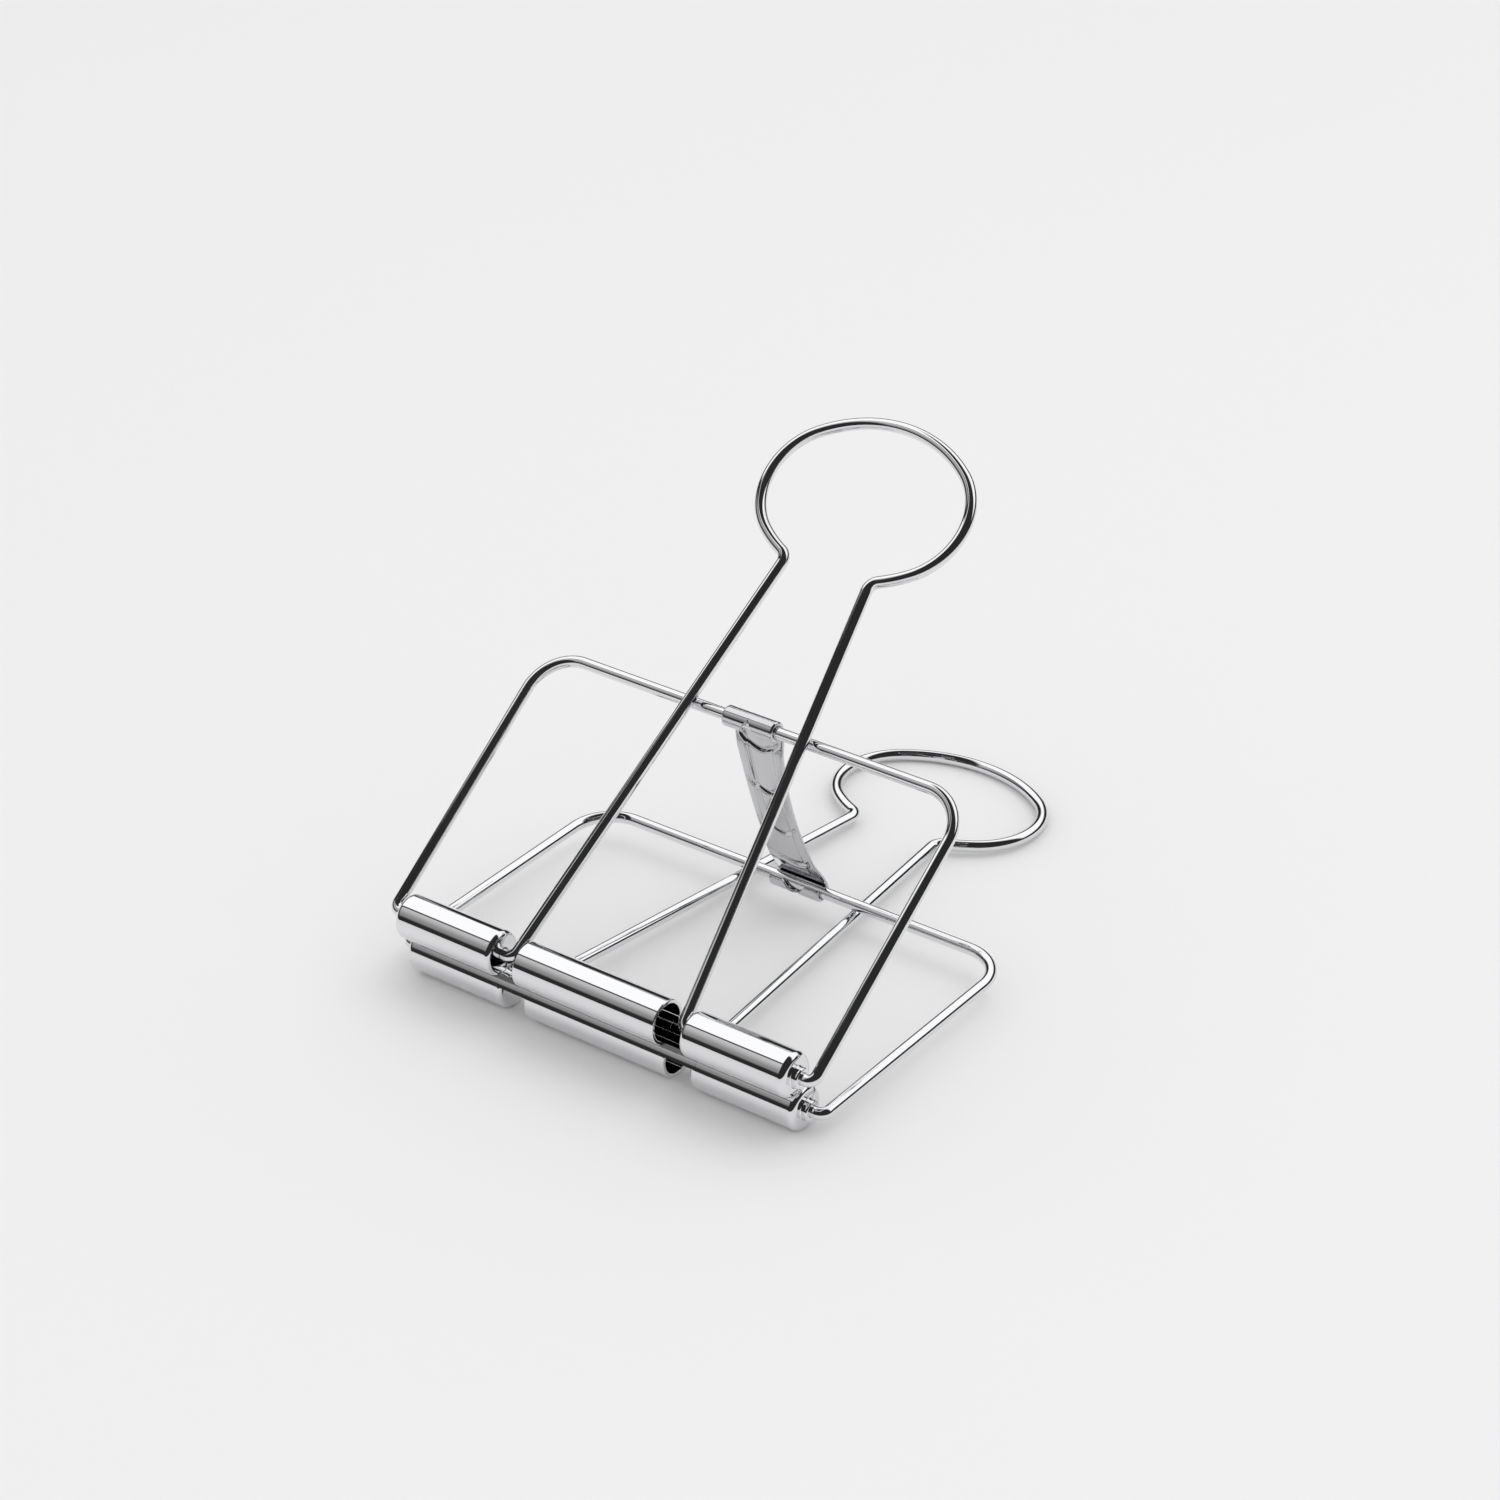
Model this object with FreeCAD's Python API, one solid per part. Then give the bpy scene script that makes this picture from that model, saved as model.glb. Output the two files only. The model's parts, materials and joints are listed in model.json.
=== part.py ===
"""Wire-frame binder clip: two bent-wire frames, two rolled jaw tubes, one spine spring, two handles.

Millimetres, +Z up. The clip lies on its lower handle and lower jaw tube, mouth towards -Y.
The shapes are drawn in the clip's own middle plane (x across, y from mouth to spine, z towards
the upper half), the lower half is the mirror of the upper half, and the whole clip is then
tilted so that it lies on the table. The origin is the bottom centre of the bounding box.
"""
import FreeCAD, Part
import math
import os
from FreeCAD import Vector

os.makedirs("parts", exist_ok=True)

# ---- driving dimensions ----
wire_d = 1.2              # spring wire of the frames and handles
sheet_t = 0.4             # sheet of the jaw tubes and of the spine spring

jaw_width = 50.0          # rail centre to rail centre
frame_depth = 30.0        # jaw tube axis to back bar centre, along the frame
frame_corner_r = 4.5      # wire centre line at the back corners
frame_foot_bend_r = 0.8   # wire centre line where a rail turns into its foot
frame_foot_in = 4.4       # length of a frame foot inside the jaw tube
half_angle = 17.3         # degrees, each frame to the middle plane

jaw_tube_r = 2.25         # outside of the rolled tube
jaw_gap = 0.1             # between the two closed tubes
jaw_end_gap = 0.3         # end of the tube to the start of the rail bend
centre_half = 8.4         # half length of the middle tube segment
notch_width = 2.9         # notch that a handle leg swings in
bridge_half_angle = 50.0  # degrees, sheet left across each notch, on the mouth side
collar_len = 0.7          # drawn-in collar round a frame foot
collar_t = 0.45           # wall of that collar
outer_end_inside_r = 0.6  # inside corner of a segment's outer end
notch_end_inside_r = 0.2  # inside corner of a segment's end at the notch
seam_width = 0.15         # open seam of the rolled sheet
seam_angle = -28.0        # degrees from the frame side, towards the other jaw

handle_foot_x = 10.1      # leg centre at the tube axis, from the middle
handle_neck_x = 4.9       # leg centre at the neck, from the middle
handle_neck_y = 46.6      # tube axis to neck
handle_foot_bend_r = 0.9  # wire centre line where a leg turns into its foot
handle_foot_in = 4.0      # length of a handle foot inside the jaw tube
neck_bend_r = 1.3         # wire centre line of the kink at the neck
loop_half_w = 11.4        # oval loop, wire centre line
loop_half_h = 8.45
loop_side_r = 7.0         # radius of the oval's sides
lean_gap = 0.15           # handle leg to back bar, at rest

spring_end_half = 3.0     # half width of the spring where it wraps a back bar
spring_waist_half = 2.5   # half width in the middle
spring_arch = 1.0         # how far the middle curves in towards the mouth
spring_wrap = 232.0       # degrees, where the rolled end stops, counted from the spine side

pivot_clear = 0.05        # running fit round a wire that turns

# ---- derived sizes ----
wire_r = wire_d / 2
half_gap = jaw_tube_r + jaw_gap / 2
beta = math.radians(half_angle)
lean = math.asin((wire_d + lean_gap) / frame_depth)
rail_x = jaw_width / 2
tube_end_x = rail_x - frame_foot_bend_r - jaw_end_gap
notch_out_x = centre_half + notch_width

# four-centre oval of the handle loop
loop_top_r = ((loop_half_w - loop_side_r) ** 2 + loop_half_h ** 2 - loop_side_r ** 2) \
    / (2 * (loop_half_h - loop_side_r))
neck_drop = loop_top_r - loop_half_h - math.sqrt(loop_top_r ** 2 - handle_neck_x ** 2)
loop_y = handle_neck_y - neck_drop
handle_len = loop_y + loop_half_h

# the clip lies on the lower tube and on the end of the lower handle
lie_slope = math.asin((jaw_tube_r - wire_r) / handle_len)
tilt = beta + lean - lie_slope

bar_y = frame_depth * math.cos(beta)
bar_z = half_gap + frame_depth * math.sin(beta)
roll_in_r = wire_r + pivot_clear
roll_out_r = roll_in_r + sheet_t
roll_mid_r = roll_in_r + sheet_t / 2
spring_r = (bar_z ** 2 + spring_arch ** 2) / (2 * spring_arch) - roll_mid_r
spring_centre_y = bar_y + roll_mid_r - spring_arch + spring_r

axis_x = Vector(1, 0, 0)


def arc(start, middle, end):
    return Part.Arc(start, middle, end).toShape()


def line(start, end):
    return Part.LineSegment(start, end).toShape()


def polar(centre, radius, angle):
    """Point at a radius and an angle (radians) from a centre in the XY plane."""
    return centre + Vector(radius * math.cos(angle), radius * math.sin(angle), 0)


def arc_about(centre, radius, start_angle, end_angle):
    middle_angle = (start_angle + end_angle) / 2
    return arc(polar(centre, radius, start_angle),
               polar(centre, radius, middle_angle),
               polar(centre, radius, end_angle))


def bent_path(points, radii):
    """Edges of a bent wire's centre line: straight runs with a tangent arc at each inner point."""
    edges = []
    here = points[0]
    for before, corner, after, radius in zip(points, points[1:], points[2:], radii):
        to_before = (before - corner).normalize()
        to_after = (after - corner).normalize()
        half = to_before.getAngle(to_after) / 2
        back = radius / math.tan(half)
        centre = corner + (to_before + to_after).normalize() * (radius / math.sin(half))
        middle = centre + (corner - centre).normalize() * radius
        start = corner + to_before * back
        end = corner + to_after * back
        edges.append(line(here, start))
        edges.append(arc(start, middle, end))
        here = end
    edges.append(line(here, points[-1]))
    return edges


def wire_solid(edges, start, direction):
    """Round wire swept along a centre line that starts at a point in a direction."""
    profile = Part.Wire([Part.Circle(start, direction, wire_r).toShape()])
    return Part.Wire(edges).makePipeShell([profile], True, True)


def make_frame():
    """Flat frame: foot, rail, back bar, rail, foot. It lies in XY with the tube axis on X."""
    foot_x = tube_end_x - frame_foot_in
    left = [Vector(-foot_x, 0, 0), Vector(-rail_x, 0, 0), Vector(-rail_x, frame_depth, 0)]
    right = [Vector(-p.x, p.y, 0) for p in reversed(left)]
    radii = [frame_foot_bend_r, frame_corner_r, frame_corner_r, frame_foot_bend_r]
    return wire_solid(bent_path(left + right, radii), left[0], axis_x)


def mirrored_edges(edges):
    """The same run of edges mirrored in X = 0 and in reverse order."""
    return [e.mirror(Vector(0, 0, 0), axis_x) for e in reversed(edges)]


def make_handle():
    """Flat handle: foot, leg, neck kink and oval loop. It lies in XY with the tube axis on X."""
    foot_end = Vector(-(notch_out_x + handle_foot_in), 0, 0)
    corner = Vector(-handle_foot_x, 0, 0)
    neck = Vector(-handle_neck_x, handle_neck_y, 0)
    along = (neck - corner).normalize()
    outward = Vector(-along.y, along.x, 0)

    # kink: a circle that touches the leg on its outside and the bottom arc of the oval from below
    oval_centre = Vector(0, loop_y + loop_top_r - loop_half_h, 0)
    reach = corner + outward * neck_bend_r - oval_centre
    b = reach.dot(along)
    c = reach.dot(reach) - (loop_top_r + neck_bend_r) ** 2
    leg_length = -b - math.sqrt(b * b - c)
    kink_start = corner + along * leg_length
    kink_centre = kink_start + outward * neck_bend_r
    to_oval = (oval_centre - kink_centre).normalize()
    kink_end = kink_centre + to_oval * neck_bend_r
    kink_middle = kink_centre + (to_oval - outward).normalize() * neck_bend_r

    # oval: bottom arc, side arc, top arc up to the middle
    side_centre = Vector(-(loop_half_w - loop_side_r), loop_y, 0)
    top_centre = Vector(0, loop_y - (loop_top_r - loop_half_h), 0)
    split = math.atan2(loop_top_r - loop_half_h, loop_half_w - loop_side_r)
    low_angle = math.atan2(kink_end.y - oval_centre.y, kink_end.x - oval_centre.x)
    left_half = bent_path([foot_end, corner, kink_start], [handle_foot_bend_r]) + [
        arc(kink_start, kink_middle, kink_end),
        arc_about(oval_centre, loop_top_r, low_angle, -math.pi + split),
        arc_about(side_centre, loop_side_r, math.pi + split, math.pi - split),
        arc_about(top_centre, loop_top_r, math.pi - split, math.pi / 2)]
    return wire_solid(left_half + mirrored_edges(left_half), foot_end, axis_x)


def turned(points_or_edges):
    """Solid of revolution about X from a closed outline in the upper XY half plane."""
    face = Part.Face(Part.Wire(points_or_edges))
    return face.revolve(Vector(0, 0, 0), axis_x, 360)


def make_outer_segment():
    """Tube segment on the +X side: a plain tube with both ends drawn in round the wires."""
    wall_in = notch_out_x
    wall_out = tube_end_x - collar_len
    out_r = outer_end_inside_r + sheet_t
    in_r = notch_end_inside_r + sheet_t
    tube_in_r = jaw_tube_r - sheet_t
    crimp_r = wire_r
    pivot_r = wire_r + pivot_clear
    collar_r = wire_r + collar_t
    out_c = Vector(wall_out - out_r, jaw_tube_r - out_r, 0)
    in_c = Vector(wall_in + in_r, jaw_tube_r - in_r, 0)
    right = math.pi / 2

    def at(x, r):
        return Vector(x, r, 0)

    outline = [
        line(at(wall_in, pivot_r), at(wall_in, in_c.y)),
        arc_about(in_c, in_r, 2 * right, right),
        line(at(in_c.x, jaw_tube_r), at(out_c.x, jaw_tube_r)),
        arc_about(out_c, out_r, right, 0),
        line(at(wall_out, out_c.y), at(wall_out, collar_r)),
        line(at(wall_out, collar_r), at(tube_end_x, collar_r)),
        line(at(tube_end_x, collar_r), at(tube_end_x, crimp_r)),
        line(at(tube_end_x, crimp_r), at(wall_out - sheet_t, crimp_r)),
        line(at(wall_out - sheet_t, crimp_r), at(wall_out - sheet_t, out_c.y)),
        arc_about(out_c, outer_end_inside_r, 0, right),
        line(at(out_c.x, tube_in_r), at(in_c.x, tube_in_r)),
        arc_about(in_c, notch_end_inside_r, right, 2 * right),
        line(at(wall_in + sheet_t, in_c.y), at(wall_in + sheet_t, pivot_r)),
        line(at(wall_in + sheet_t, pivot_r), at(wall_in, pivot_r))]
    return turned(outline)


def make_jaw():
    """Rolled jaw tube about X: three segments, a bridge across each notch and an open seam."""
    ring = Part.makeCylinder(jaw_tube_r, 2 * centre_half, Vector(-centre_half, 0, 0), axis_x)
    bore = Part.makeCylinder(jaw_tube_r - sheet_t, 2 * centre_half,
                             Vector(-centre_half, 0, 0), axis_x)
    outer = make_outer_segment()
    bridge_end = notch_out_x + notch_end_inside_r + sheet_t
    profile = Part.makePolygon([
        Vector(centre_half, 0, jaw_tube_r - sheet_t), Vector(bridge_end, 0, jaw_tube_r - sheet_t),
        Vector(bridge_end, 0, jaw_tube_r), Vector(centre_half, 0, jaw_tube_r),
        Vector(centre_half, 0, jaw_tube_r - sheet_t)])
    profile.rotate(Vector(0, 0, 0), axis_x, 180 - bridge_half_angle)
    bridge = Part.Face(Part.Wire(profile.Edges)).revolve(
        Vector(0, 0, 0), axis_x, 2 * bridge_half_angle)
    side = [outer, bridge]
    other_side = [s.mirror(Vector(0, 0, 0), axis_x) for s in side]
    jaw = ring.cut(bore).fuse(side + other_side)
    seam = Part.makeBox(jaw_width, jaw_tube_r + sheet_t, seam_width,
                        Vector(-jaw_width / 2, 0, -seam_width / 2))
    seam.rotate(Vector(0, 0, 0), axis_x, seam_angle)
    return jaw.cut(seam).removeSplitter()


def sheet_band(centre, r_in, r_out, start_angle, end_angle):
    """Curved sheet across the whole spring width: a ring sector in YZ extruded along X."""
    corners = [Vector(0, centre[0] + r * math.cos(a), centre[1] + r * math.sin(a))
               for r, a in ((r_out, start_angle), (r_out, end_angle),
                            (r_in, end_angle), (r_in, start_angle))]
    middle = (start_angle + end_angle) / 2
    mid_out, mid_in = [Vector(0, centre[0] + r * math.cos(middle), centre[1] + r * math.sin(middle))
                       for r in (r_out, r_in)]
    outline = Part.Wire([arc(corners[0], mid_out, corners[1]), line(corners[1], corners[2]),
                         arc(corners[2], mid_in, corners[3]), line(corners[3], corners[0])])
    band = Part.Face(outline).extrude(Vector(2 * spring_end_half, 0, 0))
    band.translate(Vector(-spring_end_half, 0, 0))
    return band


def make_spring():
    """Spine spring: an arched hourglass strip, rolled round the upper and the lower back bar."""
    leave = math.atan2(bar_z, spring_centre_y - bar_y)
    stop = math.radians(spring_wrap)
    upper = sheet_band((bar_y, bar_z), roll_in_r, roll_out_r, -leave, stop)
    lower = sheet_band((bar_y, -bar_z), wire_r, roll_out_r, -stop, leave)
    blade = sheet_band((spring_centre_y, 0), spring_r - sheet_t / 2, spring_r + sheet_t / 2,
                       math.pi - leave, math.pi + leave)
    flare_z = bar_z - roll_out_r
    top_z = bar_z + roll_out_r + sheet_t
    w, h = spring_end_half, spring_waist_half

    def at(x, z):
        return Vector(x, 0, z)

    outline = Part.Wire([
        line(at(-w, top_z), at(w, top_z)), line(at(w, top_z), at(w, flare_z)),
        arc(at(w, flare_z), at(h, 0), at(w, -flare_z)), line(at(w, -flare_z), at(w, -top_z)),
        line(at(w, -top_z), at(-w, -top_z)), line(at(-w, -top_z), at(-w, -flare_z)),
        arc(at(-w, -flare_z), at(-h, 0), at(-w, flare_z)), line(at(-w, flare_z), at(-w, top_z))])
    hourglass = Part.Face(outline).extrude(Vector(0, bar_y + frame_depth, 0))
    return blade.fuse([upper, lower]).common(hourglass).removeSplitter()


def upper_half():
    """The three pieces above the middle plane, keyed by their role."""
    frame = make_frame()
    frame.rotate(Vector(0, 0, 0), axis_x, half_angle)
    handle = make_handle()
    handle.rotate(Vector(0, 0, 0), axis_x, half_angle + math.degrees(lean))
    pieces = {"frame": frame, "jaw": make_jaw(), "handle": handle}
    for shape in pieces.values():
        shape.translate(Vector(0, 0, half_gap))
    return pieces


def table_point(y, z):
    """A point of the middle-plane frame after the clip is laid down, as (y, z) above the table."""
    lift = jaw_tube_r + half_gap * math.cos(tilt)
    laid_y = y * math.cos(tilt) - z * math.sin(tilt)
    laid_z = y * math.sin(tilt) + z * math.cos(tilt) + lift
    return laid_y, laid_z


upper_axis = table_point(0, half_gap)
lower_axis = table_point(0, -half_gap)
front_y = upper_axis[0] - jaw_tube_r
back_y = lower_axis[0] + handle_len * math.cos(lie_slope) + wire_r
origin_y = (front_y + back_y) / 2


def lay_down(shape):
    shape.rotate(Vector(0, 0, 0), axis_x, math.degrees(tilt))
    y, z = table_point(0, 0)
    shape.translate(Vector(0, y - origin_y, z))
    return shape


def build():
    nodes = {"spine_spring": make_spring()}
    for role, shape in upper_half().items():
        nodes["upper_" + role] = shape
        nodes["lower_" + role] = shape.mirror(Vector(0, 0, 0), Vector(0, 0, 1))
    return {name: lay_down(shape) for name, shape in nodes.items()}


for name, shape in build().items():
    solid = shape.Solids[0] if len(shape.Solids) == 1 else shape
    solid.exportStep("parts/" + name + ".step")
    print(name, "solids", len(shape.Solids), "valid", shape.isValid(),
          "volume", round(shape.Volume, 2))
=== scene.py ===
import bpy
import bmesh
import json
import math
from mathutils import Matrix, Vector


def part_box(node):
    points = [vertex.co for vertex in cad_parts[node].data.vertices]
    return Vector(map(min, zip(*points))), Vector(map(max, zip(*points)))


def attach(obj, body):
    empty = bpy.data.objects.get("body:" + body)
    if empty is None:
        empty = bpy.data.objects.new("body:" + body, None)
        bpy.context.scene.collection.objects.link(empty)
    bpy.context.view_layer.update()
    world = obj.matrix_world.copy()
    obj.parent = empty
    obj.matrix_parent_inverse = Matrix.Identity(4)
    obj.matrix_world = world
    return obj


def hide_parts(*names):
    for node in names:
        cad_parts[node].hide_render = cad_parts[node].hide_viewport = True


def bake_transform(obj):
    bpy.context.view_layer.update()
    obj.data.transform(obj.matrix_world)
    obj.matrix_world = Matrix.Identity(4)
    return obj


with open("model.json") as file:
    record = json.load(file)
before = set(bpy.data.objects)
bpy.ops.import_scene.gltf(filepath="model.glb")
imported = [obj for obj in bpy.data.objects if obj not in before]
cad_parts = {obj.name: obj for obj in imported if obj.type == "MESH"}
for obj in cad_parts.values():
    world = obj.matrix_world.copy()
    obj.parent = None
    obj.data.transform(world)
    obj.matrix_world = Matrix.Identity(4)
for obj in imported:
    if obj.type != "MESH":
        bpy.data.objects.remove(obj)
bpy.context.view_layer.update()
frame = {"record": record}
mm = 0.001
print("frame loaded")


# sizes shared by several pieces, and places taken from the frame
wire = {"radius": 0.6 * mm, "sides": 40, "arcStep": 3.0, "hold": 0.06 * mm}

jointPlace = {j["name"]: Vector(j["pos_m"]) for j in frame["record"]["behaviour"]["joints"]}
mouthAxis = next(Vector(m["axis"]) for m in frame["record"]["mounts"] if m["name"] == "jaw_grip")
tilt = math.atan2(-mouthAxis.z, -mouthAxis.y)       # middle plane of the clip above the table


def sideFacts(side, endIsLow):
    # turning axis, back bar and handle end of one side, as points in the plane x = 0
    axis = jointPlace[side + "_handle_fold"]
    low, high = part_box(side + "_frame")
    bar = Vector((0, high.y - wire["radius"], high.z - wire["radius"]))
    handleLow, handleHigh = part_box(side + "_handle")
    endZ = handleLow.z + wire["radius"] if endIsLow else handleHigh.z - wire["radius"]
    end = Vector((0, handleHigh.y - wire["radius"], endZ))
    return {"axis": axis, "bar": bar, "railX": high.x - wire["radius"],
            "depth": (bar - axis).length, "reach": (end - axis).length,
            "frameWay": (bar - axis).normalized(), "handleWay": (end - axis).normalized()}


sides = {"upper": sideFacts("upper", False), "lower": sideFacts("lower", True)}
jawLow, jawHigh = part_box("upper_jaw")
# the feet of the wires end inside the tubes, so the jaw's sizes come before the wires
jaw = {"radius": (jawHigh.y - jawLow.y) / 2, "endX": jawHigh.x, "sheet": 0.4 * mm,
       "centreHalf": 8.4 * mm, "notch": 2.9 * mm,                    # middle segment and notches
       "collar": 0.7 * mm, "collarRadius": 1.05 * mm, "boreClear": 0.05 * mm,
       "outerCorner": 0.6 * mm, "notchCorner": 0.5 * mm,             # outside roundings of the ends
       "edge": 0.11 * mm, "boreEdge": 0.05 * mm, "crimpEdge": 0.08 * mm,
       "collarRoot": 0.12 * mm, "collarLip": 0.15 * mm,
       "bridgeHalf": 50.0, "bridgeLap": 0.7 * mm, "bridgeProud": 0.004 * mm, "bridgeSteps": 60,
       "seamAngle": 118.0, "seamWidth": 0.15 * mm, "steps": 220}     # angles in degrees


def arcPoints(centre, radius, start, end, step):
    # points on an arc in a plane, angles in radians
    count = max(2, math.ceil(abs(end - start) / math.radians(step)))
    return [Vector((centre.x + radius * math.cos(start + (end - start) * i / count),
                    centre.y + radius * math.sin(start + (end - start) * i / count)))
            for i in range(count + 1)]


def roundedCorner(before, corner, after, radius, step, hold):
    # a tangent arc at a corner, with a holding point on each straight so that it shades flat
    toBefore = (before - corner).normalized()
    toAfter = (after - corner).normalized()
    half = toBefore.angle(toAfter) / 2
    back = radius / math.tan(half)
    centre = corner + (toBefore + toAfter).normalized() * (radius / math.sin(half))
    first = corner + toBefore * back - centre
    last = corner + toAfter * back - centre
    start = math.atan2(first.y, first.x)
    turn = math.atan2(first.x * last.y - first.y * last.x, first.dot(last))
    points = arcPoints(centre, radius, start, start + turn, step)
    return [points[0] + toBefore * hold] + points + [points[-1] + toAfter * hold]


def bentPath(points, radii):
    path = [points[0]]
    for before, corner, after, radius in zip(points, points[1:], points[2:], radii):
        path += roundedCorner(before, corner, after, radius, wire["arcStep"], wire["hold"])
    return path + [points[-1]]


outlineArc = {"step": 12.0, "hold": 0.01 * mm}


def closedOutline(corners):
    # corners are (x, y, radius); a closed outline with every corner rounded
    flat = [Vector((x, y)) for x, y, radius in corners]
    outline = []
    for i, (x, y, radius) in enumerate(corners):
        outline += roundedCorner(flat[i - 1], flat[i], flat[(i + 1) % len(flat)], radius,
                                 outlineArc["step"], outlineArc["hold"])
    return outline


def node(tree, kind, **values):
    made = tree.nodes.new(kind)
    for key, value in values.items():
        setattr(made, key, value)
    return made


def inputSocket(tree, name, kind, default=None):
    made = tree.interface.new_socket(name, in_out="INPUT", socket_type=kind)
    if default is not None:
        made.default_value = default
    return made.identifier


def polyCurve(name, points, closed=False):
    curve = bpy.data.curves.new(name, "CURVE")
    curve.dimensions = "3D"
    spline = curve.splines.new("POLY")
    spline.points.add(len(points) - 1)
    for target, p in zip(spline.points, points):
        target.co = (*p.to_3d(), 1)
    spline.use_cyclic_u = closed
    made = bpy.data.objects.new(name, curve)
    bpy.context.scene.collection.objects.link(made)
    return made


def finishTree(tree, into, swept, materialName):
    # the end that both trees share: smooth shading, real geometry and the material
    tree.interface.new_socket("Geometry", in_out="OUTPUT", socket_type="NodeSocketGeometry")
    smooth = node(tree, "GeometryNodeSetShadeSmooth")
    realize = node(tree, "GeometryNodeRealizeInstances")
    paint = node(tree, "GeometryNodeSetMaterial")
    out = node(tree, "NodeGroupOutput")
    link = tree.links.new
    link(swept, smooth.inputs["Geometry"])
    link(smooth.outputs["Geometry"], realize.inputs["Geometry"])
    link(realize.outputs["Geometry"], paint.inputs["Geometry"])
    link(into.outputs[materialName], paint.inputs["Material"])
    link(paint.outputs["Geometry"], out.inputs["Geometry"])


def runTree(source, tree, values):
    # runs a node tree on a source object and returns the plain mesh that it makes
    modifier = source.modifiers.new("build", "NODES")
    modifier.node_group = tree
    for identifier, value in values.items():
        modifier[identifier] = value
    bpy.context.view_layer.update()
    graph = bpy.context.evaluated_depsgraph_get()
    mesh = bpy.data.meshes.new_from_object(source.evaluated_get(graph))
    bpy.data.objects.remove(source)
    return mesh


mergeDistance = 1e-8                                # metres


def outwardNormals(mesh):
    bm = bmesh.new()
    bm.from_mesh(mesh)
    bmesh.ops.remove_doubles(bm, verts=bm.verts, dist=mergeDistance)
    bmesh.ops.recalc_face_normals(bm, faces=bm.faces)
    bm.to_mesh(mesh)
    bm.free()


def joinMeshes(name, meshes):
    bm = bmesh.new()
    for mesh in meshes:
        bm.from_mesh(mesh)
    joined = bpy.data.meshes.new(name)
    bm.to_mesh(joined)
    bm.free()
    return joined


def addPiece(name, mesh, material, cadNode):
    mesh.name = name
    mesh.materials.clear()
    mesh.materials.append(material)
    for face in mesh.polygons:
        face.use_smooth = True
        face.material_index = 0
    piece = bpy.data.objects.new(name, mesh)
    bpy.context.scene.collection.objects.link(piece)
    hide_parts(cadNode)
    return piece


skinPattern = {"cloudDetail": 4.0, "scratchDetail": 6.0, "scratchRoughness": 0.7,
               "cloudLow": 0.35, "cloudHigh": 0.7,                 # noise range that shine follows
               "dullShare": 0.22, "dullTone": (0.82, 0.83, 0.86),  # how scratches dull the metal
               "cloudHeight": 0.5}


def platedSkinGroup():
    # faint unevenness of bright plating: tone, shine, handling scratches and a slight ripple
    group = bpy.data.node_groups.new("platedSkin", "ShaderNodeTree")
    for name, kind, default in (("Coordinate", "NodeSocketVector", None),
                                ("Tone", "NodeSocketColor", (0.8, 0.8, 0.81, 1)),
                                ("Low Roughness", "NodeSocketFloat", 0.04),
                                ("High Roughness", "NodeSocketFloat", 0.12),
                                ("Cloud Size", "NodeSocketFloat", 600.0),
                                ("Scratch Size", "NodeSocketFloat", 2500.0),
                                ("Scratch Depth", "NodeSocketFloat", 0.15)):
        inputSocket(group, name, kind, default)
    for name, kind in (("Color", "NodeSocketColor"), ("Roughness", "NodeSocketFloat"),
                       ("Height", "NodeSocketFloat")):
        group.interface.new_socket(name, in_out="OUTPUT", socket_type=kind)
    link = group.links.new
    into = node(group, "NodeGroupInput")
    out = node(group, "NodeGroupOutput")

    cloud = node(group, "ShaderNodeTexNoise")
    cloud.inputs["Detail"].default_value = skinPattern["cloudDetail"]
    link(into.outputs["Coordinate"], cloud.inputs["Vector"])
    link(into.outputs["Cloud Size"], cloud.inputs["Scale"])

    scratch = node(group, "ShaderNodeTexNoise")
    scratch.inputs["Detail"].default_value = skinPattern["scratchDetail"]
    scratch.inputs["Roughness"].default_value = skinPattern["scratchRoughness"]
    link(into.outputs["Coordinate"], scratch.inputs["Vector"])
    link(into.outputs["Scratch Size"], scratch.inputs["Scale"])

    shine = node(group, "ShaderNodeMapRange")
    shine.inputs["From Min"].default_value = skinPattern["cloudLow"]
    shine.inputs["From Max"].default_value = skinPattern["cloudHigh"]
    link(cloud.outputs["Fac"], shine.inputs["Value"])
    link(into.outputs["Low Roughness"], shine.inputs["To Min"])
    link(into.outputs["High Roughness"], shine.inputs["To Max"])
    link(shine.outputs["Result"], out.inputs["Roughness"])

    dim = node(group, "ShaderNodeMapRange")
    dim.inputs["To Min"].default_value = 0.0
    dim.inputs["To Max"].default_value = skinPattern["dullShare"]
    link(scratch.outputs["Fac"], dim.inputs["Value"])
    mixTone = node(group, "ShaderNodeMix", data_type="RGBA", blend_type="MULTIPLY")
    mixTone.inputs["B"].default_value = (*skinPattern["dullTone"], 1)
    link(dim.outputs["Result"], mixTone.inputs["Factor"])
    link(into.outputs["Tone"], mixTone.inputs["A"])
    link(mixTone.outputs["Result"], out.inputs["Color"])

    depth = node(group, "ShaderNodeMath", operation="MULTIPLY")
    link(scratch.outputs["Fac"], depth.inputs[0])
    link(into.outputs["Scratch Depth"], depth.inputs[1])
    total = node(group, "ShaderNodeMath", operation="MULTIPLY_ADD")
    total.inputs[1].default_value = skinPattern["cloudHeight"]
    link(cloud.outputs["Fac"], total.inputs[0])
    link(depth.outputs["Value"], total.inputs[2])
    link(total.outputs["Value"], out.inputs["Height"])
    return group


platedSkin = platedSkinGroup()


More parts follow.
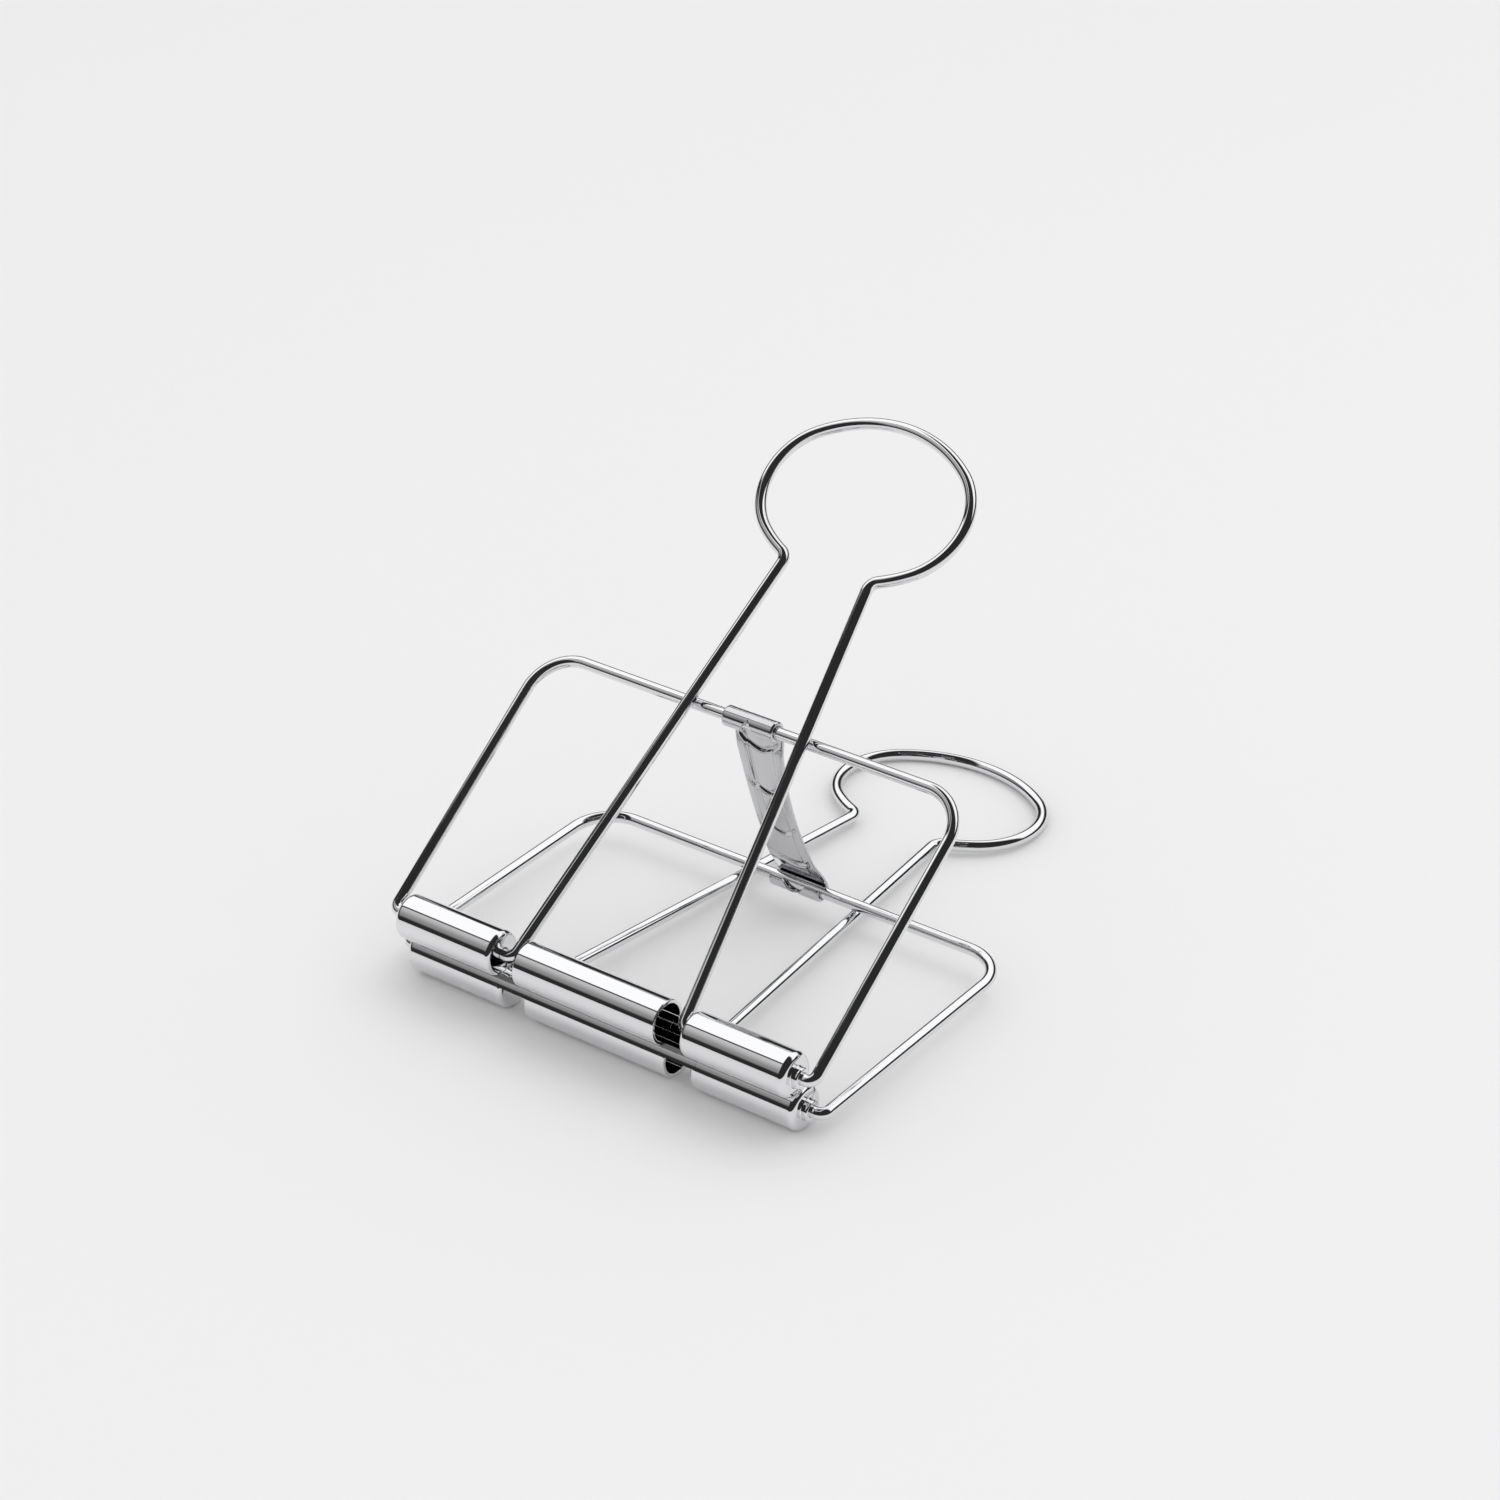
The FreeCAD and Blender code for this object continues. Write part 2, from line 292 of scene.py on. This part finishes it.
def platedMaterial(name, finish):
    material = bpy.data.materials.new(name)
    material.use_nodes = True
    tree = material.node_tree
    link = tree.links.new
    surface = tree.nodes["Principled BSDF"]
    surface.inputs["Metallic"].default_value = 1.0
    place = node(tree, "ShaderNodeTexCoord")
    stretch = node(tree, "ShaderNodeMapping")
    stretch.inputs["Scale"].default_value = finish["stretch"]
    skin = node(tree, "ShaderNodeGroup", node_tree=platedSkin)
    skin.inputs["Tone"].default_value = (*finish["tone"], 1)
    skin.inputs["Low Roughness"].default_value = finish["roughness"][0]
    skin.inputs["High Roughness"].default_value = finish["roughness"][1]
    skin.inputs["Cloud Size"].default_value = finish["cloud"]
    skin.inputs["Scratch Size"].default_value = finish["scratch"]
    skin.inputs["Scratch Depth"].default_value = finish["scratchDepth"]
    bump = node(tree, "ShaderNodeBump")
    bump.inputs["Strength"].default_value = finish["bump"]
    bump.inputs["Distance"].default_value = finish["relief"]
    link(place.outputs["Object"], stretch.inputs["Vector"])
    link(stretch.outputs["Vector"], skin.inputs["Coordinate"])
    link(skin.outputs["Color"], surface.inputs["Base Color"])
    link(skin.outputs["Roughness"], surface.inputs["Roughness"])
    link(skin.outputs["Height"], bump.inputs["Height"])
    link(bump.outputs["Normal"], surface.inputs["Normal"])
    return material


wireFinish = {"tone": (0.82, 0.82, 0.83), "roughness": (0.03, 0.09), "cloud": 500.0,
              "scratch": 2600.0, "scratchDepth": 0.12, "bump": 0.25, "relief": 0.004 * mm,
              "stretch": (1.0, 0.35, 0.35)}
sheetFinish = {"tone": (0.84, 0.84, 0.85), "roughness": (0.03, 0.08), "cloud": 350.0,
               "scratch": 2200.0, "scratchDepth": 0.10, "bump": 0.25, "relief": 0.004 * mm,
               "stretch": (0.3, 1.0, 1.0)}
springFinish = {"tone": (0.66, 0.66, 0.68), "roughness": (0.06, 0.16), "cloud": 450.0,
                "scratch": 2600.0, "scratchDepth": 0.25, "bump": 0.35, "relief": 0.006 * mm,
                "stretch": (1.0, 1.0, 0.3)}
wireMaterial = platedMaterial("platedWire", wireFinish)
sheetMaterial = platedMaterial("platedSheet", sheetFinish)
springMaterial = platedMaterial("springSheet", springFinish)
print("materials made")


def wireTree():
    tree = bpy.data.node_groups.new("wireAlongPath", "GeometryNodeTree")
    inputSocket(tree, "Path", "NodeSocketGeometry")
    sockets = {"radius": inputSocket(tree, "Wire Radius", "NodeSocketFloat", 0.001),
               "sides": inputSocket(tree, "Sides", "NodeSocketInt", 24),
               "material": inputSocket(tree, "Wire Material", "NodeSocketMaterial")}
    link = tree.links.new
    into = node(tree, "NodeGroupInput")
    section = node(tree, "GeometryNodeCurvePrimitiveCircle", mode="RADIUS")
    sweep = node(tree, "GeometryNodeCurveToMesh")
    sweep.inputs["Fill Caps"].default_value = True
    link(into.outputs["Path"], sweep.inputs["Curve"])
    link(into.outputs["Wire Radius"], section.inputs["Radius"])
    link(into.outputs["Sides"], section.inputs["Resolution"])
    link(section.outputs["Curve"], sweep.inputs["Profile Curve"])
    finishTree(tree, into, sweep.outputs["Mesh"], "Wire Material")
    return tree, sockets


wireAlongPath, wireSockets = wireTree()


def bendWire(name, flatPath, axis, way):
    # flatPath is (x, distance from the tube axis); way is the direction that it runs in
    placed = [Vector((p.x, axis.y + way.y * p.y, axis.z + way.z * p.y)) for p in flatPath]
    mesh = runTree(polyCurve(name + "Path", placed), wireAlongPath,
                   {wireSockets["radius"]: wire["radius"], wireSockets["sides"]: wire["sides"],
                    wireSockets["material"]: wireMaterial})
    outwardNormals(mesh)
    return mesh


def mirroredPath(half):
    # the left half, then the same points mirrored and in reverse
    return half + [Vector((-p.x, p.y)) for p in reversed(half)][1:]


frameShape = {"footIn": 4.4 * mm, "footBend": 0.8 * mm, "cornerBend": 4.5 * mm}


def framePath(side):
    footX = jaw["endX"] - frameShape["footIn"]
    left = [Vector((-footX, 0)), Vector((-side["railX"], 0)),
            Vector((-side["railX"], side["depth"])), Vector((0, side["depth"]))]
    return mirroredPath(bentPath(left, [frameShape["footBend"], frameShape["cornerBend"]]))


handleShape = {"footX": 10.1 * mm, "neckX": 4.9 * mm, "neckBelow": 16.04 * mm, "footIn": 4.0 * mm,
               "footBend": 0.9 * mm, "neckBend": 1.3 * mm,
               "halfWidth": 11.4 * mm, "halfHeight": 8.45 * mm, "sideRadius": 7.0 * mm}


def handlePath(side):
    # foot, leg, kink at the neck, then an oval of four arcs; the left half is worked out
    h = handleShape
    ovalY = side["reach"] - h["halfHeight"]
    corner = Vector((-h["footX"], 0))
    neck = Vector((-h["neckX"], side["reach"] - h["neckBelow"]))
    along = (neck - corner).normalized()
    outward = Vector((-along.y, along.x))
    topRadius = ((h["halfWidth"] - h["sideRadius"]) ** 2 + h["halfHeight"] ** 2
                 - h["sideRadius"] ** 2) / (2 * (h["halfHeight"] - h["sideRadius"]))
    bottomCentre = Vector((0, ovalY + topRadius - h["halfHeight"]))
    topCentre = Vector((0, ovalY - topRadius + h["halfHeight"]))
    sideCentre = Vector((-(h["halfWidth"] - h["sideRadius"]), ovalY))

    reach = corner + outward * h["neckBend"] - bottomCentre
    b = reach.dot(along)
    c = reach.dot(reach) - (topRadius + h["neckBend"]) ** 2
    kinkStart = corner + along * (-b - math.sqrt(b * b - c))
    kinkCentre = kinkStart + outward * h["neckBend"]
    toOval = (bottomCentre - kinkCentre).normalized()
    startAngle = math.atan2(-outward.y, -outward.x)
    turn = math.atan2(-outward.x * toOval.y + outward.y * toOval.x, -outward.dot(toOval))
    kinkEnd = kinkCentre + toOval * h["neckBend"]
    lowAngle = math.atan2(kinkEnd.y - bottomCentre.y, kinkEnd.x - bottomCentre.x)
    split = math.atan2(topRadius - h["halfHeight"], h["halfWidth"] - h["sideRadius"])

    step = wire["arcStep"]
    footEnd = Vector((-(jaw["centreHalf"] + jaw["notch"] + h["footIn"]), 0))
    path = bentPath([footEnd, corner, kinkStart - along * wire["hold"]], [h["footBend"]])
    path += arcPoints(kinkCentre, h["neckBend"], startAngle, startAngle + turn, step * 2)
    path += arcPoints(bottomCentre, topRadius, lowAngle, -math.pi + split, step)[1:]
    path += arcPoints(sideCentre, h["sideRadius"], math.pi + split, math.pi - split, step)[1:]
    path += arcPoints(topCentre, topRadius, math.pi - split, math.pi / 2, step)[1:]
    return mirroredPath(path)


for sideName, frameBody, handleBody in (("upper", "upper_side", "upper_grip"),
                                        ("lower", "lower_side", "lower_grip")):
    side = sides[sideName]
    frameMesh = bendWire(sideName + "Frame", framePath(side), side["axis"], side["frameWay"])
    framePiece = addPiece(sideName + "FrameWire", frameMesh, wireMaterial, sideName + "_frame")
    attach(framePiece, frameBody)
    handleMesh = bendWire(sideName + "Handle", handlePath(side), side["axis"], side["handleWay"])
    handlePiece = addPiece(sideName + "HandleWire", handleMesh, wireMaterial, sideName + "_handle")
    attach(handlePiece, handleBody)
print("wires bent")


def rolledTree():
    # turns a closed sheet outline round an axis through part of a circle
    tree = bpy.data.node_groups.new("rolledSheet", "GeometryNodeTree")
    inputSocket(tree, "Outline", "NodeSocketGeometry")
    sockets = {"radius": inputSocket(tree, "Roll Radius", "NodeSocketFloat", 0.002),
               "steps": inputSocket(tree, "Steps", "NodeSocketInt", 64),
               "start": inputSocket(tree, "Start Angle", "NodeSocketFloat", 0.0),
               "sweep": inputSocket(tree, "Sweep Angle", "NodeSocketFloat", 6.0),
               "material": inputSocket(tree, "Sheet Material", "NodeSocketMaterial")}
    link = tree.links.new
    into = node(tree, "NodeGroupInput")
    path = node(tree, "GeometryNodeCurveArc", mode="RADIUS")
    upright = node(tree, "GeometryNodeSetCurveNormal", mode="Z_UP")
    sweep = node(tree, "GeometryNodeCurveToMesh")
    sweep.inputs["Fill Caps"].default_value = True
    link(into.outputs["Roll Radius"], path.inputs["Radius"])
    link(into.outputs["Steps"], path.inputs["Resolution"])
    link(into.outputs["Start Angle"], path.inputs["Start Angle"])
    link(into.outputs["Sweep Angle"], path.inputs["Sweep Angle"])
    link(path.outputs["Curve"], upright.inputs["Curve"])
    link(upright.outputs["Curve"], sweep.inputs["Curve"])
    link(into.outputs["Outline"], sweep.inputs["Profile Curve"])
    finishTree(tree, into, sweep.outputs["Mesh"], "Sheet Material")
    return tree, sockets


rolledSheet, rolledSockets = rolledTree()
# the roll is made about Z from an outline of (radius, length); this lays the axis along X, with
# angle 0 on the clip's outer side and 90 degrees towards the spine
rollToJaw = Matrix(((0, 0, -1, 0), (0, 1, 0, 0), (1, 0, 0, 0), (0, 0, 0, 1)))


def rollSheet(name, corners, startAngle, sweepAngle, steps):
    # corners are (x, radius, rounding) of the sheet's outline on the +X side
    outline = closedOutline([(r - jaw["radius"], x, rounding) for x, r, rounding in corners])
    mesh = runTree(polyCurve(name, outline, closed=True), rolledSheet,
                   {rolledSockets["radius"]: jaw["radius"], rolledSockets["steps"]: steps,
                    rolledSockets["start"]: math.radians(startAngle),
                    rolledSockets["sweep"]: math.radians(sweepAngle),
                    rolledSockets["material"]: sheetMaterial})
    mesh.transform(rollToJaw)
    return mesh


def jawMeshes():
    outside, sheet, edge = jaw["radius"], jaw["sheet"], jaw["edge"]
    inside = outside - sheet
    foot = wire["radius"]
    bore = foot + jaw["boreClear"]
    collar, endX = jaw["collarRadius"], jaw["endX"]
    centreHalf = jaw["centreHalf"]
    wallIn = centreHalf + jaw["notch"]
    wallOut = endX - jaw["collar"]
    outerEnd = [(wallIn, bore, jaw["boreEdge"]), (wallIn, outside, jaw["notchCorner"]),
                (wallOut, outside, jaw["outerCorner"]), (wallOut, collar, jaw["collarRoot"]),
                (endX, collar, jaw["collarLip"]), (endX, foot, jaw["crimpEdge"]),
                (wallOut - sheet, foot, jaw["crimpEdge"]),
                (wallOut - sheet, inside, jaw["outerCorner"] - sheet),
                (wallIn + sheet, inside, jaw["notchCorner"] - sheet),
                (wallIn + sheet, bore, jaw["boreEdge"])]
    middle = [(-centreHalf, inside, edge), (-centreHalf, outside, edge),
              (centreHalf, outside, edge), (centreHalf, inside, edge)]
    # the bridge laps both segments and stands a hair proud of them, so no two faces coincide
    lap, proud = jaw["bridgeLap"], jaw["bridgeProud"]
    bridge = [(centreHalf - lap, inside - proud, edge), (centreHalf - lap, outside + proud, edge),
              (wallIn + lap, outside + proud, edge), (wallIn + lap, inside - proud, edge)]
    gap = math.degrees(jaw["seamWidth"] / outside)
    start = jaw["seamAngle"] + gap / 2
    meshes = [rollSheet("jawMiddle", middle, start, 360 - gap, jaw["steps"])]
    for corners, first, sweep, steps in (
            (outerEnd, start, 360 - gap, jaw["steps"]),
            (bridge, 180 - jaw["bridgeHalf"], 2 * jaw["bridgeHalf"], jaw["bridgeSteps"])):
        right = rollSheet("jawSide", corners, first, sweep, steps)
        left = right.copy()
        left.transform(Matrix.Diagonal((-1, 1, 1, 1)))
        meshes += [right, left]
    for mesh in meshes:
        outwardNormals(mesh)
    return meshes


def layDown(mesh, place, flip):
    # from the clip's middle plane to where the clip lies
    if flip:
        mesh.transform(Matrix.Diagonal((1, 1, -1, 1)))
    mesh.transform(Matrix.Translation(place) @ Matrix.Rotation(tilt, 4, "X"))
    outwardNormals(mesh)
    return mesh


for sideName, body in (("upper", "upper_side"), ("lower", "lower_side")):
    jawMesh = layDown(joinMeshes(sideName + "Jaw", jawMeshes()), sides[sideName]["axis"],
                      sideName == "lower")
    jawPiece = addPiece(sideName + "JawTube", jawMesh, sheetMaterial, sideName + "_jaw")
    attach(jawPiece, body)
print("jaws rolled")


spring = {"sheet": 0.4 * mm, "clear": 0.05 * mm, "endHalf": 3.0 * mm, "waistHalf": 2.5 * mm,
          "arch": 1.0 * mm, "wrap": 232.0, "tabNotch": 118.0, "across": 64, "rollSteps": 56,
          "bladeSteps": 260, "edgeSteps": 6, "flangeRise": 0.30 * mm, "flangeStart": 0.50,
          "flangeEnd": 0.70, "ribDepth": 0.31 * mm, "ribWidth": 0.26 * mm, "notchHalf": 0.5,
          "ribs": (8.3 * mm, 2.6 * mm, -3.0 * mm, -8.0 * mm), "ribBow": 1.9 * mm,
          "ribMiddle": 0.35,
          "ribFadeStart": 0.8, "ribFadeEnd": 0.98, "flatEnd": 3.0 * mm, "bendShare": 0.12}


def smoothStep(low, high, value):
    t = min(1.0, max(0.0, (value - low) / (high - low)))
    return t * t * (3 - 2 * t)


def springStations(barY, barZ):
    # rows of the sheet's middle surface from one rolled end to the other: each row is a function of
    # t, -1 to 1 across the width, giving (point, normal) in the clip's middle plane
    s = spring
    rollRadius = wire["radius"] + s["clear"] + s["sheet"] / 2
    bladeRadius = (barZ ** 2 + s["arch"] ** 2) / (2 * s["arch"]) - rollRadius
    centreY = barY + rollRadius - s["arch"] + bladeRadius
    leave = math.atan2(barZ, centreY - barY)
    flareZ = barZ - rollRadius - s["sheet"] / 2
    hourglassRise = s["endHalf"] - s["waistHalf"]
    hourglassRadius = (flareZ ** 2 + hourglassRise ** 2) / (2 * hourglassRise)

    def rollRow(u, sign):
        # u runs from 0 at the free edge to 1 where the blade starts
        def row(t):
            stop = math.radians(s["wrap"] - s["tabNotch"] * max(0.0, 1 - abs(t) / s["notchHalf"]))
            angle = stop * (1 - u) - leave * u
            normal = Vector((0, math.cos(angle), sign * math.sin(angle)))
            across = t * (s["endHalf"] - s["sheet"] / 2)
            return Vector((across, barY, sign * barZ)) + normal * rollRadius, normal
        return row

    def bladeRow(v):
        # v runs from -1 at the lower roll to 1 at the upper roll
        angle = leave * v

        def row(t):
            z = bladeRadius * math.sin(angle)
            y = centreY - bladeRadius * math.cos(angle)
            inside = max(0.0, hourglassRadius ** 2 - min(abs(z), flareZ) ** 2)
            half = s["waistHalf"] + hourglassRadius - math.sqrt(inside) - s["sheet"] / 2
            # the normal points to the spine side; the pressed shape stands towards the mouth
            normal = Vector((0, math.cos(angle), -math.sin(angle)))
            fade = smoothStep(0.0, s["flatEnd"], flareZ - abs(z))
            press = s["flangeRise"] * smoothStep(s["flangeStart"], s["flangeEnd"], abs(t)) * fade
            for ribZ in s["ribs"]:
                away = z - ribZ - s["ribBow"] * (t * t - s["ribMiddle"])
                ribEnd = 1 - smoothStep(s["ribFadeStart"], s["ribFadeEnd"], abs(t))
                press -= s["ribDepth"] * math.exp(-(away / s["ribWidth"]) ** 2) * ribEnd
            return Vector((t * half, y, z)) - normal * press, normal
        return row

    rows = [rollRow(i / s["rollSteps"], 1) for i in range(s["rollSteps"])]
    rows += [bladeRow(1 - 2 * i / s["bladeSteps"]) for i in range(s["bladeSteps"] + 1)]
    rows += [rollRow(1 - i / s["rollSteps"], -1) for i in range(1, s["rollSteps"] + 1)]
    return rows


def springMesh():
    s = spring
    middle = (sides["upper"]["axis"] + sides["lower"]["axis"]) / 2
    bar = Matrix.Rotation(-tilt, 4, "X") @ (sides["upper"]["bar"] - middle)
    half = s["sheet"] / 2
    across = [-1 + 2 * i / s["across"] for i in range(s["across"] + 1)]
    bm = bmesh.new()
    loops = []
    for row in springStations(bar.y, bar.z):
        samples = [row(t) for t in across]
        loop = [p + n * half for p, n in samples]                    # spine side
        for end, outX in ((-1, 1), (0, -1)):                         # rounded cut edges, mouth side
            p, n = samples[end]
            inset = Vector((outX * half, 0, 0))
            turns = [outX * (math.pi / 2 - math.pi * i / s["edgeSteps"])
                     for i in range(1, s["edgeSteps"])]
            loop += [p + inset * math.cos(a) + n * half * math.sin(a) for a in turns]
            if outX > 0:
                loop += [q - m * half for q, m in reversed(samples)]
        loops.append([bm.verts.new(p) for p in loop])
    count = len(loops[0])
    for first, second in zip(loops, loops[1:]):
        for i in range(count):
            j = (i + 1) % count
            bm.faces.new((first[i], first[j], second[j], second[i]))
    for loop in (loops[0], loops[-1]):
        bm.faces.new(loop)
    bmesh.ops.recalc_face_normals(bm, faces=bm.faces)
    mesh = bpy.data.meshes.new("spineSpring")
    bm.to_mesh(mesh)
    bm.free()
    return layDown(mesh, middle, False)


springPiece = addPiece("spineSpringStrip", springMesh(), springMaterial, "spine_spring")
bendFrom = sides["lower"]["bar"].lerp(sides["upper"]["bar"], spring["bendShare"])
bendTo = sides["lower"]["bar"].lerp(sides["upper"]["bar"], 1 - spring["bendShare"])
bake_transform(springPiece)
print("spine spring formed")


# each ramp is a row of (share of the way round, brightness)
studio = {"floorSize": 4.0, "floorDrop": 0.02 * mm, "floorTone": (0.86, 0.86, 0.86),
          "floorRoughness": 0.55, "floorSpecular": 0.2, "keyPlace": (0.25, 0.35, 0.9),
          "keySize": 0.8, "keyPower": 1.2, "evenLight": 0.93, "darkest": 0.025,
          "wallWay": (-0.15, 0.78, 0.607), "windowWay": (-1.0, 0.0, 0.0),
          "wall": ((0.0, 0.0), (0.675, 0.0), (0.695, 1.15), (1.0, 1.15)),
          "front": ((0.0, 1.0), (0.63, 1.0), (0.65, 0.0), (1.0, 0.0)),
          "room": ((0.0, 0.22), (0.40, 0.26), (0.80, 0.62)),
          "window": ((0.0, 0.0), (0.70, 0.0), (0.74, 1.0)),
          "back": ((0.0, 0.0), (0.66, 0.0), (0.74, 1.0)),
          "roomFloor": ((0.0, 0.0), (0.23, 0.0), (0.38, 1.0)),
          "wallFloor": ((0.0, 0.0), (0.36, 0.0), (0.46, 1.0))}


def paleFloor():
    size = studio["floorSize"] / 2
    mesh = bpy.data.meshes.new("paleFloor")
    mesh.from_pydata([(-size, -size, 0), (size, -size, 0), (size, size, 0), (-size, size, 0)], [],
                     [(0, 1, 2, 3)])
    mesh.transform(Matrix.Translation((0, 0, -studio["floorDrop"])))
    floor = bpy.data.objects.new("paleFloor", mesh)
    bpy.context.scene.collection.objects.link(floor)
    material = bpy.data.materials.new("paleTable")
    material.use_nodes = True
    surface = material.node_tree.nodes["Principled BSDF"]
    surface.inputs["Base Color"].default_value = (*studio["floorTone"], 1)
    surface.inputs["Roughness"].default_value = studio["floorRoughness"]
    surface.inputs["Specular IOR Level"].default_value = studio["floorSpecular"]
    mesh.materials.append(material)


def overheadLight():
    # a large soft disk aimed at the clip, which the metal itself doesn't mirror
    data = bpy.data.lights.new("overheadSoft", "AREA")
    data.shape = "DISK"
    data.size = studio["keySize"]
    data.energy = studio["keyPower"]
    lamp = bpy.data.objects.new("overheadSoft", data)
    lamp.location = studio["keyPlace"]
    lamp.rotation_mode = "QUATERNION"
    lamp.rotation_quaternion = (-Vector(studio["keyPlace"])).to_track_quat("-Z", "Y")
    lamp.visible_glossy = False
    bpy.context.scene.collection.objects.link(lamp)


def ramp(tree, value, stops):
    # a smooth grey ramp over a value between 0 and 1
    made = node(tree, "ShaderNodeValToRGB")
    tree.links.new(value, made.inputs["Fac"])
    made.color_ramp.interpolation = "EASE"
    while len(made.color_ramp.elements) < len(stops):
        made.color_ramp.elements.new(0.5)
    for element, (position, level) in zip(made.color_ramp.elements, stops):
        element.position = position
        element.color = (level, level, level, 1)
    return made.outputs["Color"]


def studioWorld():
    # even light for the table; bright metal sees a wide window on the left, a white wall behind, a
    # grey room in front of the window, a dark line round the horizon and dark everywhere else
    world = bpy.data.worlds.new("softStudio")
    bpy.context.scene.world = world
    world.use_nodes = True
    tree = world.node_tree
    link = tree.links.new
    background = tree.nodes["Background"]
    way = node(tree, "ShaderNodeTexCoord")

    def towards(direction):
        # 0 when facing away from a direction, 1 when facing it
        dot = node(tree, "ShaderNodeVectorMath", operation="DOT_PRODUCT")
        dot.inputs[1].default_value = direction
        link(way.outputs["Generated"], dot.inputs[0])
        halved = node(tree, "ShaderNodeMath", operation="MULTIPLY_ADD")
        halved.inputs[1].default_value = 0.5
        halved.inputs[2].default_value = 0.5
        link(dot.outputs["Value"], halved.inputs[0])
        return halved.outputs["Value"]

    def combine(operation, first, second):
        made = node(tree, "ShaderNodeMath", operation=operation)
        link(first, made.inputs[0])
        link(second, made.inputs[1])
        return made.outputs["Value"]

    parts = node(tree, "ShaderNodeSeparateXYZ")
    link(way.outputs["Generated"], parts.inputs["Vector"])
    height = parts.outputs["Z"]
    wallPlace = towards(studio["wallWay"])
    window = ramp(tree, towards(studio["windowWay"]), studio["window"])
    back = ramp(tree, towards((0, 1, 0)), studio["back"])
    room = combine("MULTIPLY", ramp(tree, height, studio["room"]),
                   ramp(tree, wallPlace, studio["front"]))
    room = combine("MULTIPLY", room, ramp(tree, height, studio["roomFloor"]))
    wall = combine("MULTIPLY", ramp(tree, wallPlace, studio["wall"]),
                   ramp(tree, height, studio["wallFloor"]))
    seen = combine("MULTIPLY", combine("ADD", room, wall), combine("MAXIMUM", window, back))
    dim = node(tree, "ShaderNodeMath", operation="ADD")
    dim.inputs[1].default_value = studio["darkest"]
    link(seen, dim.inputs[0])

    ray = node(tree, "ShaderNodeLightPath")
    pick = node(tree, "ShaderNodeMix", data_type="FLOAT")
    pick.inputs["A"].default_value = studio["evenLight"]
    link(ray.outputs["Is Glossy Ray"], pick.inputs["Factor"])
    link(dim.outputs["Value"], pick.inputs["B"])
    link(pick.outputs["Result"], background.inputs["Strength"])
    background.inputs["Color"].default_value = (1, 1, 1, 1)


paleFloor()
overheadLight()
studioWorld()

view = {"azimuth": 37.74, "elevation": 29.8, "roll": -1.0, "distance": 380 * mm, "lens": 94.28,
        "sensor": 36, "nearest": 10 * mm, "aim": Vector((-3.46, -2.81, 18.22)) * mm}


def placeCamera():
    a, e, r = (math.radians(view[k]) for k in ("azimuth", "elevation", "roll"))
    back = Vector((math.sin(a) * math.cos(e), -math.cos(a) * math.cos(e), math.sin(e)))
    right = Vector((math.cos(a), math.sin(a), 0))
    up = back.cross(right)
    across = right * math.cos(r) + up * math.sin(r)
    upward = up * math.cos(r) - right * math.sin(r)
    data = bpy.data.cameras.new("viewCamera")
    data.lens = view["lens"]
    data.sensor_width = view["sensor"]
    data.clip_start = view["nearest"]
    camera = bpy.data.objects.new("viewCamera", data)
    camera.rotation_mode = "QUATERNION"
    camera.rotation_quaternion = Matrix((across, upward, back)).transposed().to_quaternion()
    camera.location = view["aim"] + back * view["distance"]
    bpy.context.scene.collection.objects.link(camera)
    bpy.context.scene.camera = camera


placeCamera()
bpy.context.scene.view_settings.view_transform = "Standard"
print("studio set")
